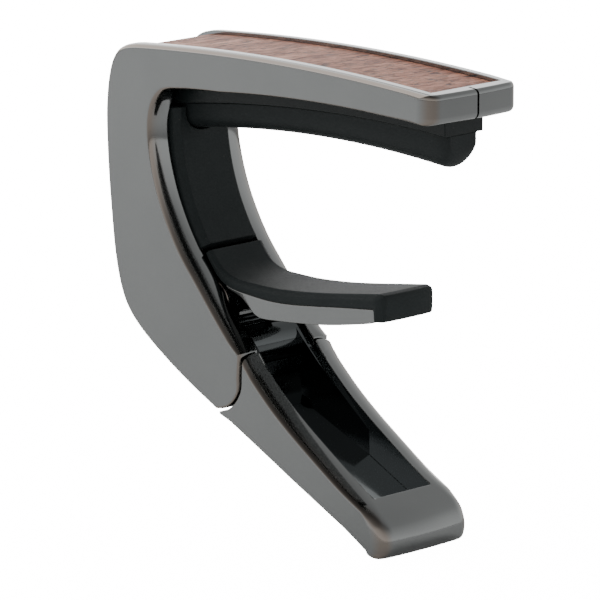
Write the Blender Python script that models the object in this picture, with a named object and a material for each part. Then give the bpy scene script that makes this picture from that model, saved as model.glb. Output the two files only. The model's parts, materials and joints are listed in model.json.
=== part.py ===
"""A clip-on guitar capo whose lever swings its jaw open, as separate pieces on two hinges.

X runs across the guitar neck towards the capo's open tip, Y along the strings, Z away from the fretboard.
The origin is where the fret pad meets the middle of the fretboard.
Lengths in this file are millimetres; MM turns them into Blender's metres.
"""

from math import cos, pi, radians, sin, sqrt

import bmesh
import bpy
from mathutils import Vector

MM = 0.001

# Driving sizes
HALF_WIDTH = 10.5  # half of the capo's width along the strings
EDGE = 0.8  # rounding of the castings' long edges
CHANNEL = 6.6  # half of the width inside the frame's spine and inside the lever
PAD_HALF = 6.3  # half of the width of the spine pad and the jaw pad
JAW_HALF = 6.1  # half of the width of the jaw's side rails
WEB_HALF = 4.1  # half of the width of the jaw's web
GAP = 0.3  # clearance between neighbouring pieces

ARM_TIP_X = 31.9
TIP_CORNER = 2.8  # plan radius of the arm tip's corners
NOSE_X = 22.2
NOSE_CORNER = 2.9
ARM_PEAK = (-8.0, 13.35)  # highest point of the arm's arched top
ARM_TOP_RADIUS = 390.0
UNDER_PEAK = (7.0, 7.65)  # highest point of the arm's arched underside
UNDER_RADIUS = 260.0
FRET_RADIUS = 215.0  # arch of the fret pad's working face

LEVER_AXIS = (-14.9, -35.7)  # the lever's hinge, along Y
JAW_AXIS = (-22.0, -29.5)  # the jaw's hinge, along Y
HUB_HALF = 6.2  # half of the length of the lever's hub
SHAFT = 1.5
BUSH = 2.4
HUB = 3.5
JAW_HUB = 3.9
FINGER = 4.19  # from the lever's axis to the centre of the finger's knob, on the line to the jaw's axis
KNOB = 1.1
INLAY_DEEP = 2.2  # depth of the recess along the outside
INLAY_SUNK = 0.6  # how far the wood lies below the rim around it
INLAY_HALF = 8.1

# Side outlines, as points that a smooth curve runs through
BACK = [(-33.0, 12.55), (-35.3, 12.15), (-37.2, 11.2), (-38.5, 9.5), (-39.3, 7.2), (-39.85, 4.0),
        (-40.1, -0.5), (-39.8, -8.0), (-39.2, -15.0), (-38.3, -22.5), (-36.9, -28.2), (-34.9, -31.9),
        (-31.5, -35.2), (-26.3, -38.9), (-21.2, -42.0), (-15.2, -45.15)]
RIM = [(-9.35, -35.2), (-11.2, -33.4), (-14.5, -29.7), (-18.9, -24.4), (-22.2, -20.4), (-24.8, -16.3),
       (-26.9, -11.9), (-28.4, -7.2), (-29.2, -2.8), (-29.2, 0.6), (-28.4, 3.2), (-26.6, 5.0), (-24.0, 5.8)]
SPINE_FACE = [(-27.7, 2.1), (-27.6, -1.5), (-27.2, -5.0), (-26.2, -9.3), (-24.6, -13.6), (-22.6, -17.4),
              (-21.2, -19.5)]
JAW_FACE = [(-20.5, -20.3), (-19.2, -22.0), (-17.4, -23.5), (-14.6, -24.4), (-11.0, -24.65), (-7.0, -24.75),
            (-3.0, -24.6), (1.0, -24.3), (6.0, -23.75), (11.0, -23.1), (16.5, -22.4)]
JAW_FACE_TIP = [(17.5, -22.6), (17.9, -23.4), (17.85, -26.3), (17.4, -26.95)]
JAW_UNDER = [(-21.3, -20.95), (-20.2, -22.5), (-18.2, -24.75), (-15.6, -25.95), (-11.4, -26.5), (-7.1, -26.82),
             (-2.9, -26.75), (1.2, -26.4), (6.2, -25.86), (11.2, -25.35), (15.8, -24.93)]
JAW_UNDER_TIP = [(16.3, -25.05), (16.5, -25.5), (16.6, -26.3), (16.8, -26.9)]
RAIL_UNDER = [(16.15, -26.2), (15.5, -27.15), (10.9, -28.1), (5.3, -29.0), (0.6, -29.45), (-6.1, -29.93),
              (-8.3, -30.05), (-9.6, -29.95), (-10.9, -29.35), (-12.1, -28.25), (-13.8, -27.05), (-16.6, -26.15)]
LEVER_RIM = [(-9.0, -35.45), (-7.4, -37.5), (-4.6, -40.3), (-1.6, -43.0), (2.0, -45.8), (6.4, -48.9),
             (12.6, -53.1), (17.4, -56.0)]
LEVER_SKIN = [(-14.1, -45.78), (-9.6, -48.2), (1.5, -54.2), (12.9, -60.2)]
NOSE = [(19.0, -63.4), (20.3, -64.1), (21.5, -63.7), (22.15, -62.4), (22.15, -60.8), (21.3, -59.0),
        (19.7, -57.5)]
JOINT_CENTRE = (-15.2, -39.6)  # centre of the round corner of the frame's cheeks
JOINT_RADIUS = 5.5


def material(name, color, roughness, metallic):
    made = bpy.data.materials.new(name)
    made.use_nodes = True
    shader = made.node_tree.nodes["Principled BSDF"]
    shader.inputs["Base Color"].default_value = (*color, 1.0)
    shader.inputs["Roughness"].default_value = roughness
    shader.inputs["Metallic"].default_value = metallic
    return made


def smooth_curve(points, steps=3):
    """Points along a Catmull-Rom curve through the given ones."""
    ends = [points[0], *points, points[-1]]
    out = []
    for i in range(1, len(ends) - 2):
        a, b, c, d = (Vector(p) for p in ends[i - 1:i + 3])
        for k in range(steps):
            t = k / steps
            out.append(tuple(0.5 * (2 * b + (c - a) * t + (2 * a - 5 * b + 4 * c - d) * t * t
                                    + (3 * b - a - 3 * c + d) * t ** 3)))
    return [*out, tuple(points[-1])]


def arc(centre, radius, start, end, steps):
    """Points of an arc, with angles in degrees from +X towards +Z."""
    angles = [radians(start + (end - start) * k / steps) for k in range(steps + 1)]
    return [(centre[0] + radius * cos(a), centre[1] + radius * sin(a)) for a in angles]


def normals(line, closed=False):
    """The unit normal to the left of the line at each of its points, and how much a corner stretches it."""
    out = []
    last = len(line) - 1
    for i, p in enumerate(line):
        before = line[i - 1] if closed or i else p
        after = line[(i + 1) % len(line)] if closed or i < last else p
        into = Vector(p) - Vector(before)
        away = Vector(after) - Vector(p)
        into = away if into.length < 1e-6 else into
        away = into if away.length < 1e-6 else away
        n = (into.normalized() + away.normalized()).normalized()
        stretch = 1 / max(0.6, n.dot(away.normalized()))
        out.append((Vector((-n.y, n.x)), stretch))
    return out


def offset(line, distance, closed=False):
    """The line moved to its left by a distance, or by a distance for each point."""
    far = distance if isinstance(distance, list) else [distance] * len(line)
    return [(p[0] + n.x * s * d, p[1] + n.y * s * d) for p, (n, s), d in zip(line, normals(line, closed), far)]


def wound(outline):
    """The outline run counter-clockwise, so that its left is its inside."""
    area = sum(a[0] * b[1] - b[0] * a[1] for a, b in zip(outline, outline[1:] + outline[:1]))
    return outline if area > 0 else outline[::-1]


def arm_top(x):
    return ARM_PEAK[1] - (x - ARM_PEAK[0]) ** 2 / (2 * ARM_TOP_RADIUS)


def arm_under(x):
    return UNDER_PEAK[1] - (x - UNDER_PEAK[0]) ** 2 / (2 * UNDER_RADIUS)


def fret_face(x):
    return -x * x / (2 * FRET_RADIUS)


def spread(start, end, steps):
    return [start + (end - start) * k / steps for k in range(steps + 1)]


def link(name, bm, colour, smooth=True):
    """Closes a bmesh into a named object with its own material, shaded smooth but for its sharp edges."""
    bmesh.ops.recalc_face_normals(bm, faces=bm.faces)
    bmesh.ops.scale(bm, vec=(MM, MM, MM), verts=bm.verts)
    mesh = bpy.data.meshes.new(name)
    bm.to_mesh(mesh)
    bm.free()
    obj = bpy.data.objects.new(name, mesh)
    bpy.context.scene.collection.objects.link(obj)
    if colour:
        mesh.materials.append(material(name, *colour))
    if smooth:
        mesh.shade_smooth()
        mesh.set_sharp_from_angle(angle=radians(35))
    return obj


def rings_to_bmesh(rings, closed_loop=False):
    """Faces between rings of equal length, with flat caps on the first and last unless the rings close up."""
    bm = bmesh.new()
    made = [[bm.verts.new(p) for p in ring] for ring in rings]
    count = len(made[0])
    pairs = list(zip(made, made[1:]))
    if closed_loop:
        pairs.append((made[-1], made[0]))
    for low, high in pairs:
        for i in range(count):
            j = (i + 1) % count
            bm.faces.new((low[i], low[j], high[j], high[i]))
    if not closed_loop:
        bm.faces.new(made[0][::-1])
        bm.faces.new(made[-1])
    return bm


def end_of(tip, corner, bow, y):
    """How far an end with rounded plan corners and a slight bow reaches in X at a given Y."""
    flat = HALF_WIDTH - corner
    beyond = max(0.0, abs(y) - flat)
    drop = corner - sqrt(max(0.0, corner * corner - beyond * beyond))
    return tip - drop - bow * (min(abs(y), flat) / flat) ** 2


def slab(name, outline, colour, tip, corner, bow=0.35, blend=6.0, sharp=()):
    """A casting's side outline carried across its width, with rounded long edges and a tip rounded in plan.

    The rounding thins out towards the outline's own sharp corners, where it would fold over itself.
    """
    edge = [(HALF_WIDTH - EDGE * (1 - cos(radians(a))), EDGE * (1 - sin(radians(a)))) for a in (0, 35, 65, 90)]
    plan = [(HALF_WIDTH - corner * f, 0.0) for f in (0.5, 0.75, 1.0)] + [(4.0, 0.0), (0.0, 0.0)]
    half = edge + plan
    stations = [(-y, inset) for y, inset in half] + [(y, inset) for y, inset in half[-2::-1]]
    outline = wound(outline)
    least, slope = 0.04, 0.33
    most = []
    for place in outline:
        room = [least + slope * (Vector(place) - Vector(corner_place)).length for corner_place in sharp]
        most.append(min([EDGE] + room) / EDGE)
    rings = []
    for y, inset in stations:
        reach = end_of(tip, corner, bow, y)
        start = tip - blend
        ring = []
        for x, z in offset(outline, [inset * share for share in most], closed=True):
            if x > start:
                x = start + (x - start) * (reach - start) / (tip - start)
            ring.append((x, y, z))
        rings.append(ring)
    return link(name, rings_to_bmesh(rings), colour)


def prism(name, outline, low, high, colour=None, edge=0.0):
    """An outline in XZ carried from one Y to another, with its long edges chamfered by edge."""
    outline = wound(outline)
    stations = [(low, 0), (high, 0)]
    if edge:
        stations = [(low, edge), (low + edge, 0.0), (high - edge, 0.0), (high, edge)]
    rings = [[(x, y, z) for x, z in offset(outline, inset, closed=True)] for y, inset in stations]
    return link(name, rings_to_bmesh(rings), colour)


def turned(name, profile, centre, axis, colour=None, sides=32):
    """A profile of (radius, height) points turned about an axis; the profile is closed, or ends on the axis."""
    up = Vector(axis).normalized()
    side = up.orthogonal().normalized()
    other = up.cross(side)
    bm = bmesh.new()
    columns = []
    poles = {}
    for k in range(sides):
        spoke = side * cos(2 * pi * k / sides) + other * sin(2 * pi * k / sides)
        column = []
        for i, (radius, height) in enumerate(profile):
            place = Vector(centre) + up * height
            if radius == 0:
                poles.setdefault(i, None)
                if poles[i] is None:
                    poles[i] = bm.verts.new(place)
                column.append(poles[i])
            else:
                column.append(bm.verts.new(place + spoke * radius))
        columns.append(column)
    for k in range(sides):
        here, there = columns[k], columns[(k + 1) % sides]
        for i in range(len(profile)):
            j = (i + 1) % len(profile)
            corners = list(dict.fromkeys((here[i], there[i], there[j], here[j])))
            if len(corners) > 2:
                bm.faces.new(corners)
    return link(name, bm, colour)


def on_axis(name, axis, inner, outer, low, high, colour=None, chamfer=0.15, sides=32):
    """A sleeve or rod about a hinge axis, from one Y to another."""
    c = chamfer
    profile = [(outer - c, low), (outer, low + c), (outer, high - c), (outer - c, high)]
    profile += [(inner, high), (inner, low)] if inner else [(0, high), (0, low)]
    return turned(name, profile, (axis[0], 0, axis[1]), (0, 1, 0), colour, sides)


def coil(name, axis, inner, wire, start_y, pitch, turns, tang, start_angle, steps=18):
    """A torsion spring of square wire about an axis, with both its ends bent outward."""
    count = int(turns * steps)
    half = wire / 2
    rings = []
    for k in range(count + 1):
        turn = radians(start_angle) + 2 * pi * k / steps
        y = start_y + pitch * k / steps
        high = inner + wire + (tang if k in (0, count) else 0.0)
        ring = []
        for r, dy in ((inner, -half), (high, -half), (high, half), (inner, half)):
            ring.append((axis[0] + r * cos(turn), y + dy, axis[1] + r * sin(turn)))
        rings.append(ring)
    return link(name, rings_to_bmesh(rings), SPRING_STEEL)


def strap(name, face, back, section, colour):
    """A pad along a face line, with points of its section as (Y, share of the way from the face to the back)."""
    rings = []
    for front, rear in zip(face, back):
        rings.append([(front[0] + (rear[0] - front[0]) * t, y, front[1] + (rear[1] - front[1]) * t)
                      for y, t in section])
    return link(name, rings_to_bmesh(rings), colour)


def apply_boolean(obj, other, operation):
    """Joins or cuts for good, and drops the tool."""
    change = obj.modifiers.new(operation.lower(), "BOOLEAN")
    change.operation = operation
    change.object = other
    bpy.context.view_layer.update()
    graph = bpy.context.evaluated_depsgraph_get()
    mesh = bpy.data.meshes.new_from_object(obj.evaluated_get(graph))
    obj.modifiers.remove(change)
    old = obj.data
    obj.data = mesh
    bpy.data.meshes.remove(old)
    bpy.data.objects.remove(other)
    return obj


def cut(obj, *tools):
    for tool in tools:
        apply_boolean(obj, tool, "DIFFERENCE")


def join(obj, *others):
    for other in others:
        apply_boolean(obj, other, "UNION")


def hinge_empty(name, axis):
    empty = bpy.data.objects.new(name, None)
    empty.location = (axis[0] * MM, 0, axis[1] * MM)
    bpy.context.scene.collection.objects.link(empty)
    return empty


def hang_on(empty, pieces):
    """Parents the pieces to their hinge's empty without moving them."""
    bpy.context.view_layer.update()
    for piece in pieces:
        piece.parent = empty
        piece.matrix_parent_inverse = empty.matrix_world.inverted()


BLACK_CHROME = ((0.30, 0.31, 0.32), 0.12, 1.0)
STEEL = ((0.55, 0.55, 0.56), 0.25, 1.0)
SPRING_STEEL = ((0.42, 0.42, 0.44), 0.3, 1.0)
RUBBER = ((0.02, 0.022, 0.022), 0.6, 0.0)
PLASTIC = ((0.03, 0.032, 0.032), 0.45, 0.0)
WALNUT = ((0.42, 0.30, 0.25), 0.5, 0.0)


def frame_outline():
    """The C-shaped casting from the side: tip, arm top, back, skin, joint corner, rim and underside in turn."""
    under_r, top_r = 1.2, 0.9
    low = arc((ARM_TIP_X - under_r, arm_under(ARM_TIP_X - under_r) + under_r), under_r, -90, 0, 5)
    high_x = ARM_TIP_X - top_r
    high = arc((high_x, arm_top(high_x) - top_r), top_r, 0, 90, 3)
    top = [(x, arm_top(x)) for x in spread(28.5, -30.5, 13)]
    corner = arc(JOINT_CENTRE, JOINT_RADIUS, -80, 0, 7)
    under = [(x, arm_under(x)) for x in spread(-20.0, 27.5, 9)]
    return low + high + top + smooth_curve(BACK, 2) + corner + smooth_curve(RIM, 2) + under


def channel_outline():
    """The hollow of the spine and lobe, from under the arm down to the lever, open on the rim's side."""
    ceiling, mouth_x = 6.1, -21.0
    back = [p for p in smooth_curve(BACK, 2) if p[1] < 5.0]
    walls = [3.9 if z > -24 else 3.2 if z > -32 else 1.8 for _, z in back]
    inner = [p for p in offset(back, walls) if p[1] < ceiling - 1.5]
    return [(mouth_x, ceiling), (inner[0][0] + 0.8, ceiling), (inner[0][0], ceiling - 0.8), *inner,
            (-8.0, -46.2), (-3.0, -40.0), (-3.0, 0.0), (mouth_x, 0.0)]


def inlay_line():
    """The outside line that the inlay follows, from near the tip over the corner and down the back."""
    lowest = -26.0
    top = [(x, arm_top(x)) for x in spread(29.3, -30.5, 13)]
    return top + [p for p in smooth_curve(BACK, 2) if p[1] > lowest]


def strip(line, near, far):
    """The closed outline between two offsets of a line."""
    return offset(line, near) + offset(line, far)[::-1]


def screw(name, head, centre, axis):
    """A countersunk screw whose head's face is at its centre, pointing along its axis."""
    shank, long = 0.9, 4.2
    profile = [(0, 0), (head, 0), (head, -0.35), (shank, -1.0), (shank, -long + 0.4), (shank - 0.4, -long),
               (0, -long)]
    return turned(name, profile, centre, axis, STEEL, sides=16)


def screw_seat(name, head, centre, axis, deep):
    """The cutter for a countersunk hole: a clearance hole and a cone for the head."""
    shank = 0.9 + GAP
    wide = head + GAP
    profile = [(0, 3), (wide, 3), (wide, -0.5), (shank, -1.4), (shank, -deep), (0, -deep)]
    return turned(name, profile, centre, axis, None, sides=16)


def spine_screw_places():
    """Where the two screws hold the spine pad's plate: a point on the plate's face and the way out of it."""
    face = smooth_curve(SPINE_FACE, 3)
    deep = offset(face, -2.6)
    out = []
    for i in (4, 12):
        along = Vector(deep[i + 1]) - Vector(deep[i - 1])
        normal = Vector((-along.y, along.x)).normalized()
        out.append((Vector((deep[i][0], 0, deep[i][1])), Vector((normal.x, 0, normal.y))))
    return out


CARRIER_SCREW_X = (-14.0, 17.0)
CARRIER_DEEP = 2.7  # from the arm's underside to the carrier's lower face


def carrier_screw_place(x):
    """The middle of a carrier screw's head, flush with the carrier's lower face."""
    return Vector((x, 0, arm_under(x) - CARRIER_DEEP + 0.1))


def frame():
    body = slab("frame", frame_outline(), BLACK_CHROME, ARM_TIP_X, TIP_CORNER)
    channel = prism("cut_channel", channel_outline(), -CHANNEL, CHANNEL)
    for i, (place, normal) in enumerate(spine_screw_places()):
        boss = turned(f"boss_{i}", [(0, -1.9), (2.2, -1.9), (2.2, -12), (0, -12)], place, normal, None, 16)
        apply_boolean(channel, boss, "DIFFERENCE")
    cut(body, channel)
    for i, (place, normal) in enumerate(spine_screw_places()):
        cut(body, turned(f"pilot_{i}", [(0, 0), (1.2, 0), (1.2, -4.6), (0, -4.6)], place, normal, None, 16))
    line = inlay_line()
    cut(body, prism("cut_inlay", strip(line, -2.0, INLAY_DEEP), -INLAY_HALF, INLAY_HALF))
    for x in CARRIER_SCREW_X:
        pilot = [(0, 0), (1.2, 0), (1.2, 4.4), (0, 4.4)]
        cut(body, turned("pilot", pilot, carrier_screw_place(x), (0, 0, 1), None, 16))
    tip_slot = [(29.9, 4.0), (33.0, 4.0), (33.0, 14.0), (29.9, 14.0)]
    cut(body, prism("cut_tip_slot", tip_slot, -0.25, 0.25))
    for axis in (JAW_AXIS, LEVER_AXIS):
        seat = [(0, -9.6), (SHAFT + GAP, -9.6), (SHAFT + GAP, 8.85), (BUSH + GAP, 8.85), (BUSH + GAP, 12),
                (0, 12)]
        cut(body, turned("cut_shaft_seat", seat, (axis[0], 0, axis[1]), (0, 1, 0), None, 32))
    return body


def arm_inlay():
    line = inlay_line()[:]
    line[0] = (line[0][0] - GAP, line[0][1])
    line = line[:-1]
    return prism("arm_inlay", strip(line, INLAY_SUNK, INLAY_DEEP - GAP), -INLAY_HALF + GAP, INLAY_HALF - GAP,
                 WALNUT, 0.15)


def pad_carrier():
    """The plastic rail under the arm that holds the fret pad."""
    across = spread(-30.0, 29.0, 14)
    upper = [(x, arm_under(x) - GAP) for x in across]
    lower = [(x, arm_under(x) - CARRIER_DEEP) for x in across[::-1]]
    rail = prism("pad_carrier", upper + lower, -4.5, 4.5, PLASTIC, 0.25)
    for x in CARRIER_SCREW_X:
        cut(rail, screw_seat("seat", 1.7, carrier_screw_place(x), (0, 0, -1), 6))
    return rail


def carrier_screws():
    names = ("carrier_screw_rear", "carrier_screw_front")
    return [screw(n, 1.7, carrier_screw_place(x) + Vector((0, 0, 0.05)), (0, 0, -1))
            for n, x in zip(names, CARRIER_SCREW_X)]


def fret_pad():
    """The rubber that presses on the strings: flat on the carrier, round below, arched along its length."""
    half, side = 3.7, 1.6
    rings = []
    for x in spread(-29.4, 28.8, 20):
        top = arm_under(x) - CARRIER_DEEP - GAP
        low = fret_face(x)
        nose = max(0.0, (x - 27.0) / 1.8)
        low += 1.1 * nose * nose
        middle = top - side
        ring = [(x, -half, top), (x, half, top)]
        for k in range(7):
            angle = pi * k / 6
            ring.append((x, half * cos(angle), middle - (middle - low) * sin(angle) ** 0.8))
        rings.append(ring)
    return link("fret_pad", rings_to_bmesh(rings), RUBBER)


def pad_section(half, bevel, share):
    """A pad's section: square at the back, with a bevel along each side of its face."""
    return [(-half, 1.0), (-half, share), (-half + bevel, 0.0), (half - bevel, 0.0), (half, share), (half, 1.0)]


def spine_pad():
    """The rubber on the spine, notched at its top for the end of the fret pad."""
    face = smooth_curve(SPINE_FACE, 3)
    pad = strap("spine_pad", face, offset(face, -2.3), pad_section(PAD_HALF, 1.0, 0.4), RUBBER)
    notch = [(-34.0, -2.6), (-24.0, -2.6), (-24.0, 6.0), (-34.0, 6.0)]
    cut(pad, prism("cut_notch", notch, -4.1, 4.1))
    return pad


def spine_pad_plate():
    face = smooth_curve(SPINE_FACE, 3)[1:-2]
    plate = prism("spine_pad_plate", strip(face, -2.6, -4.2), -PAD_HALF, PAD_HALF, PLASTIC, 0.2)
    for i, (place, normal) in enumerate(spine_screw_places()):
        cut(plate, screw_seat(f"seat_{i}", 1.7, place, normal, 8))
    return plate


def spine_plate_screws():
    names = ("spine_plate_screw_upper", "spine_plate_screw_lower")
    sunk = 0.1
    return [screw(name, 1.7, place - normal * sunk, normal)
            for name, (place, normal) in zip(names, spine_screw_places())]


def turn_about(point, centre, angle):
    """A point of the side view turned counter-clockwise about a centre, in degrees."""
    x, z = point[0] - centre[0], point[1] - centre[1]
    c, s = cos(radians(angle)), sin(radians(angle))
    return (centre[0] + x * c - z * s, centre[1] + x * s + z * c)


def jaw():
    """The moving jaw: side rails under its pad, a web back to its hinge, and a slot for the lever's finger."""
    under = smooth_curve(JAW_UNDER, 2)
    rail_top = [p for p in offset(under, -GAP) if p[0] > -17.4]
    body = prism("jaw", rail_top + RAIL_UNDER, -JAW_HALF, JAW_HALF, BLACK_CHROME)
    web_top = [p for p in offset(under, -GAP - 0.12)[2:] if p[0] < 2.0]
    web = web_top + [(2.0, -28.9), (-8.0, -29.5), (-12.5, -29.3), (-18.0, -31.0), (-22.0, -31.0), (-25.4, -28.4),
                     (-24.4, -24.4)]
    join(body, prism("web", web, -WEB_HALF, WEB_HALF))
    join(body, on_axis("hub", JAW_AXIS, 0, JAW_HUB, -WEB_HALF - 0.1, WEB_HALF + 0.1))
    line = Vector(LEVER_AXIS) - Vector(JAW_AXIS)
    reach = line.length
    line.normalize()
    side = Vector((-line.y, line.x))

    def at(along, across):
        spot = Vector(JAW_AXIS) + line * along + side * across
        return (spot.x, spot.y)

    horn = [at(1.0, -3.1), at(4.6, -3.1), at(5.6, -2.2), at(5.6, 2.2), at(4.6, 3.1), at(1.0, 3.1)]
    join(body, prism("horns", horn, -3.4, 3.4))
    slot = KNOB + GAP + 0.05
    low = reach - FINGER - KNOB - 0.35
    cut(body, prism("cut_slot", [at(low, -slot), at(9.0, -slot - 0.4), at(9.0, slot + 0.4), at(low, slot)], -5, 5))
    clear = HUB + 0.4
    ends = [turn_about(LEVER_AXIS, JAW_AXIS, a) for a in (0, 17)]
    way = arc(ends[0], clear, 150, 310, 8) + arc(ends[1], clear, -50, 150, 10)
    cut(body, prism("cut_hub_way", way, -7, 7))
    cut(body, on_axis("cut_bore", JAW_AXIS, 0, BUSH + GAP, -7, 7, None, 0.01, 36))
    return body


def jaw_pad():
    """The rubber on the jaw, wrapped over its tip."""
    face = smooth_curve(JAW_FACE, 2) + JAW_FACE_TIP
    back = smooth_curve(JAW_UNDER, 2) + JAW_UNDER_TIP
    return strap("jaw_pad", face, back, pad_section(PAD_HALF, 0.8, 0.35), RUBBER)


def lever():
    """The hollow lever, with two ears that carry its hub inside the frame, and the finger that opens the jaw."""
    clear = 0.35
    corner = arc(JOINT_CENTRE, JOINT_RADIUS + clear, 0, -80, 7)
    outline = LEVER_SKIN + smooth_curve(NOSE, 2) + smooth_curve(LEVER_RIM, 2)[::-1] + corner
    sharp = (LEVER_RIM[0], LEVER_SKIN[0], corner[-1])
    body = slab("lever", outline, BLACK_CHROME, NOSE_X, NOSE_CORNER, 0.35, 5.0, sharp)
    hollow = [(-20.0, -40.5), (12.4, -57.65), (14.3, -57.7), (16.4, -55.2), (18.0, -52.5), (18.0, -40.0),
              (-2.0, -28.0), (-20.0, -28.0)]
    cut(body, prism("cut_hollow", hollow, -CHANNEL, CHANNEL))
    ear = [(-15.6, -33.0), (-12.0, -33.6), (-7.3, -38.9), (-7.3, -43.8), (-10.9, -44.6), (-13.4, -42.9),
           (-16.4, -41.3)]
    block = [(-9.1, -36.9), (-6.3, -40.0), (-6.3, -43.9), (-8.6, -45.4), (-9.3, -43.5), (-9.1, -41.0)]
    for side in (-1, 1):
        low, high = sorted((side * 5.2, side * HUB_HALF))
        join(body, prism("ear", ear, low, high))
        low, high = sorted((side * 5.6, side * 7.2))
        join(body, prism("ear_block", block, low, high))
    apron = [(-16.3, -36.0), (-14.0, -36.0), (-14.0, -41.2), (-11.0, -43.9), (-9.9, -46.2), (-11.3, -45.3),
             (-11.8, -44.2), (-12.6, -43.7), (-14.2, -42.4), (-15.4, -42.1), (-16.3, -41.0)]
    join(body, prism("apron", apron, -HUB_HALF + 0.1, HUB_HALF - 0.1))
    join(body, on_axis("hub", LEVER_AXIS, 0, HUB, -HUB_HALF - 0.05, HUB_HALF + 0.05))
    line = (Vector(JAW_AXIS) - Vector(LEVER_AXIS)).normalized()
    side = Vector((-line.y, line.x))
    knob = Vector(LEVER_AXIS) + line * FINGER
    root = Vector(LEVER_AXIS) + line * 1.5
    corners = [root - side * 1.6, knob - side * 0.9, knob + side * 0.9, root + side * 1.6]
    join(body, prism("finger", [(p.x, p.y) for p in corners], -2.6, 2.6))
    join(body, on_axis("knob", (knob.x, knob.y), 0, KNOB, -2.7, 2.7, None, 0.1, 24))
    cut(body, on_axis("cut_bore", LEVER_AXIS, 0, BUSH + GAP, -8, 8, None, 0.01, 36))
    return body


def hinge_pieces(name, axis, inner_end, outer_end):
    """A hinge's shaft, the plug over it, and the two bushes between the given distances from the middle."""
    shaft = on_axis(f"{name}_shaft", axis, 0, SHAFT, -9.3, 8.55, STEEL, 0.25)
    plug = on_axis(f"{name}_shaft_plug", axis, 0, BUSH, 9.15, 10.4, BLACK_CHROME)
    near = on_axis(f"{name}_bush_near", axis, SHAFT + GAP, BUSH, -outer_end, -inner_end, PLASTIC, 0.1)
    far = on_axis(f"{name}_bush_far", axis, SHAFT + GAP, BUSH, inner_end, outer_end, PLASTIC, 0.1)
    return [shaft, plug], [near, far]


def main():
    for obj in list(bpy.data.objects):
        bpy.data.objects.remove(obj)
    frame()
    arm_inlay()
    pad_carrier()
    carrier_screws()
    fret_pad()
    spine_pad()
    spine_pad_plate()
    spine_plate_screws()
    coil("jaw_spring_near", JAW_AXIS, SHAFT + GAP, 0.6, -6.1, 0.72, 1.75, 2.2, 35)
    coil("jaw_spring_far", JAW_AXIS, SHAFT + GAP, 0.6, 4.84, 0.72, 1.75, 2.2, 35)
    _, jaw_bushes = hinge_pieces("jaw", JAW_AXIS, 2.0, WEB_HALF)
    _, lever_bushes = hinge_pieces("lever", LEVER_AXIS, 4.0, HUB_HALF)
    hang_on(hinge_empty("jaw_hinge_axis", JAW_AXIS), [jaw(), jaw_pad(), *jaw_bushes])
    hang_on(hinge_empty("lever_hinge_axis", LEVER_AXIS), [lever(), *lever_bushes])


main()
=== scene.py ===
"""A clip-on guitar capo in a plain studio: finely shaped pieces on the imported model's three bodies.

X runs across the guitar neck towards the capo's open tip, Y along the strings, Z away from the fretboard.
Shapes are worked out in millimetres and brought to metres by MM. The materials are procedural.
"""

import json
from math import cos, pi, radians, sin, sqrt

import bmesh
import bpy
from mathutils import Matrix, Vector

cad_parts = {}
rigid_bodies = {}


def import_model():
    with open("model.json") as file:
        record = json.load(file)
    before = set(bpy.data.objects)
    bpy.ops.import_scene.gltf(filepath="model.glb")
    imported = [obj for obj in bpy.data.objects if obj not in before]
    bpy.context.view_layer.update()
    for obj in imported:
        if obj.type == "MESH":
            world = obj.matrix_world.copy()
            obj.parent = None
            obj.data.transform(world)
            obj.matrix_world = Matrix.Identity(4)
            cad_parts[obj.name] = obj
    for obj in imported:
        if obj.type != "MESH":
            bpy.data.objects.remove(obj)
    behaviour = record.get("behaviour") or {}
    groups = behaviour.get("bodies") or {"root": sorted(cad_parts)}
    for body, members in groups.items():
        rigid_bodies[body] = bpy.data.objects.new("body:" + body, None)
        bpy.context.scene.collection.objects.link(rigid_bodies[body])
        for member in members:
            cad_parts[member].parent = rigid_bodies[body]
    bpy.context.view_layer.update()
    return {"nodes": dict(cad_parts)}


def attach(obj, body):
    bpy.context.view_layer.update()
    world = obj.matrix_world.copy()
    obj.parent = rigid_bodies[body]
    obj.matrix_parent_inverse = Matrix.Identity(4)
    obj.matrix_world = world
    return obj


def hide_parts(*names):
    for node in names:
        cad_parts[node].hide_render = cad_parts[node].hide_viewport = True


MM = 0.001

HALF_WIDTH = 10.5  # half of the capo's width along the strings
CHANNEL = 6.6  # half of the width inside the frame's spine and inside the lever
PAD_HALF = 6.3  # half of the width of the spine pad and the jaw pad
JAW_HALF = 6.1  # half of the width of the jaw's side rails
WEB_HALF = 4.1  # half of the width of the jaw's web
GAP = 0.3  # clearance between neighbouring pieces
CONTACT = 0.04  # the same between pieces that are pressed together

EDGE = (1.2, 0.8)  # rounding of the castings' long edges: how far it reaches along Y, and its depth
RIM_EDGE = (3.85, 1.2)  # the same on the inward rims, which are gently domed
UNDER_EDGE = (0.35, 0.3)  # the same under the arm
JOINT_EDGE = (0.5, 0.4)  # the same along the joint between frame and lever
SOFT_EDGE = 0.13  # rounding of the edges that a hollow leaves in a casting

ARM_TIP_X = 31.9
TIP_CORNER = 2.8  # plan radius of the arm tip's corners
NOSE_X = 22.2
NOSE_CORNER = 2.9
NOSE_START = 18.6  # where the domed rim runs out into the nose
JAW_TIP_X = 17.9
JAW_TIP_CORNER = 1.4
ARM_PEAK = (-8.0, 13.35)  # highest point of the arm's arched top
ARM_TOP_RADIUS = 390.0
UNDER_PEAK = (7.0, 7.65)  # highest point of the arm's arched underside
UNDER_RADIUS = 260.0
FRET_RADIUS = 215.0  # arch of the fret pad's working face
FRET_FRONT = 28.8  # the fret pad's front end
FRET_NOSE = 3.0  # length of its rounded front
CARRIER_DEEP = 2.7  # from the arm's underside to the carrier's lower face
INLAY_DEEP = 2.2  # depth of the recess for the wood
INLAY_SUNK = 0.6  # how far the wood lies below the rim around it
INLAY_HALF = 8.1  # half of the recess's width
INLAY_LOWEST = -26.0  # where the recess ends down the back

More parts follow.
